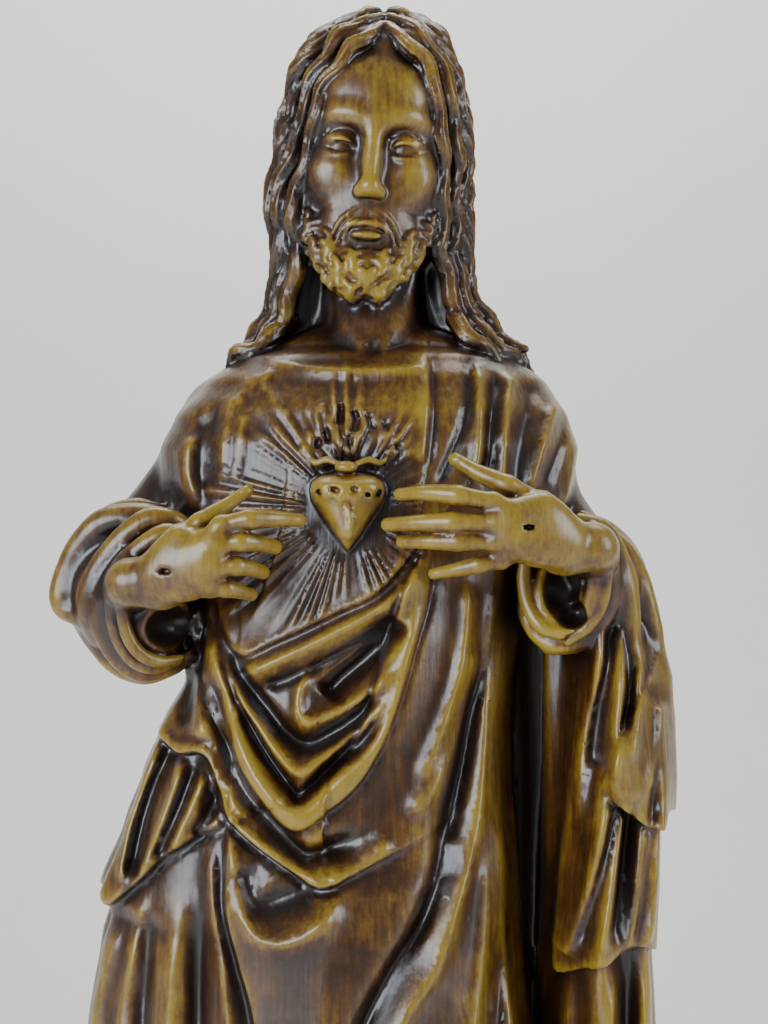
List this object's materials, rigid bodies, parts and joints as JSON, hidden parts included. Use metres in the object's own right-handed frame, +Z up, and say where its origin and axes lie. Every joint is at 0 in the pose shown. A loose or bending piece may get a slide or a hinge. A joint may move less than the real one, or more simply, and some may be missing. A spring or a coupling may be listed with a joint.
{
  "type": "jesus statue",
  "caption": "Standing robed figure of Jesus, hands drawn to a flaming heart on the breast, cast in one piece with a low base, in a dark walnut-style glaze.",
  "frame": {"origin": "centre of the bounding box in plan, on the underside of the base", "axes": "+Z up the figure, front of the figure towards -Y, +X to the viewer's right"},
  "size_m": [0.256, 0.212, 0.8831],
  "materials": {
    "glazed_cast": "ochre base coat under a brushed dark brown glaze, glossy clear varnish"
  },
  "bodies": {
    "root": {"statue": "glazed_cast"}
  },
  "joints": []
}
